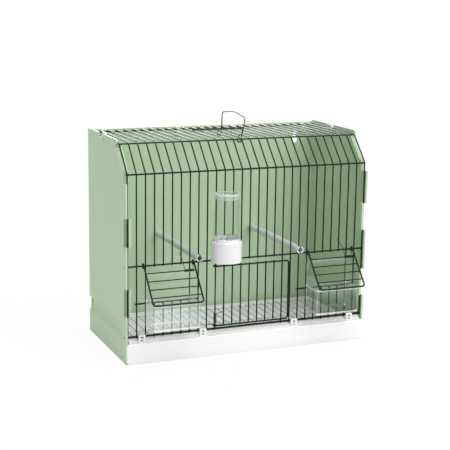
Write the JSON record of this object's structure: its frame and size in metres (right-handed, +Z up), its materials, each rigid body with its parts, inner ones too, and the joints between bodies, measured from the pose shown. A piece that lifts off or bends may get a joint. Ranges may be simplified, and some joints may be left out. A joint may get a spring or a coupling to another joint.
{
  "type": "bird show cage",
  "caption": "Bird show cage with a wire front and top, plastic sides and back, a sprung door, sprung feeder flaps, a drinker, perches, a bail handle and a slide-out floor drawer.",
  "frame": {"origin": "centre of the underside of the base pan", "axes": "+Z up, -Y to the wire front, +X to the right seen from the front"},
  "size_m": [0.36, 0.2133, 0.3286],
  "materials": {
    "green_plastic": "pale green moulded plastic, satin",
    "white_plastic": "white moulded plastic, smooth",
    "black_wire": "black plastic-coated steel wire, semi-gloss",
    "clear_plastic": "clear moulded plastic",
    "grey_plastic": "grey extruded plastic tube",
    "floor_wire": "zinc-plated wire",
    "spring_steel": "dark spring wire"
  },
  "bodies": {
    "cage": {"left_side_panel": "green_plastic", "right_side_panel": "green_plastic", "back_panel": "green_plastic", "base_pan": "white_plastic", "front_wires": "black_wire", "slope_wires": "black_wire", "top_wires": "black_wire", "feeder_short_wires": "black_wire", "bottom_rail": "black_wire", "mid_rail": "black_wire", "bend_rail": "black_wire", "top_front_rail": "black_wire", "rear_rail": "black_wire", "left_feeder_rail": "black_wire", "right_feeder_rail": "black_wire", "handle_bar": "black_wire", "left_perch": "grey_plastic", "right_perch": "grey_plastic", "left_feeder": "clear_plastic", "right_feeder": "clear_plastic"},
    "drawer": {"drawer_tray": "white_plastic", "floor_grille_wires": "floor_wire", "floor_grille_bars": "floor_wire"},
    "door": {"door_frame": "black_wire", "door_wires": "black_wire", "door_spring": "spring_steel"},
    "left_flap": {"left_flap_frame": "black_wire", "left_flap_wires": "black_wire", "left_flap_spring": "spring_steel"},
    "right_flap": {"right_flap_frame": "black_wire", "right_flap_wires": "black_wire", "right_flap_spring": "spring_steel"},
    "drinker": {"drinker_cup": "white_plastic"},
    "drinker_tube": {"drinker_tube": "clear_plastic"},
    "handle": {"handle": "black_wire"}
  },
  "joints": [
    {"name": "drawer_pull", "type": "slide", "parent": "cage", "child": "drawer", "axis": [0, -1, 0], "range_m": [0, 0.15]},
    {"name": "door_hinge", "type": "hinge", "parent": "cage", "child": "door", "pos_m": [-0.0504, -0.083, 0.083], "axis": [0, 0, -1], "range_deg": [0, 100], "stiffness_Nm_per_rad": 0.006, "springref_deg": -34.38, "deforming": ["door_spring"]},
    {"name": "left_flap_hinge", "type": "hinge", "parent": "cage", "child": "left_flap", "pos_m": [-0.1182, -0.08084, 0.1335], "axis": [-1, 0, 0], "range_deg": [0, 95], "stiffness_Nm_per_rad": 0.02, "springref_deg": -34.38, "deforming": ["left_flap_spring"]},
    {"name": "right_flap_hinge", "type": "hinge", "parent": "cage", "child": "right_flap", "pos_m": [0.1259, -0.08084, 0.1335], "axis": [-1, 0, 0], "range_deg": [0, 95], "stiffness_Nm_per_rad": 0.02, "springref_deg": -34.38, "deforming": ["right_flap_spring"]},
    {"name": "drinker_pull", "type": "slide", "parent": "cage", "child": "drinker", "axis": [0, -1, 0], "range_m": [0, 0.045]},
    {"name": "drinker_tube_lift", "type": "slide", "parent": "drinker", "child": "drinker_tube", "axis": [0, 0, 1], "range_m": [0, 0.04]},
    {"name": "handle_fold", "type": "hinge", "parent": "cage", "child": "handle", "pos_m": [0, -0.0056, 0.296], "axis": [0, 1, 0], "range_deg": [-92, 60]}
  ]
}
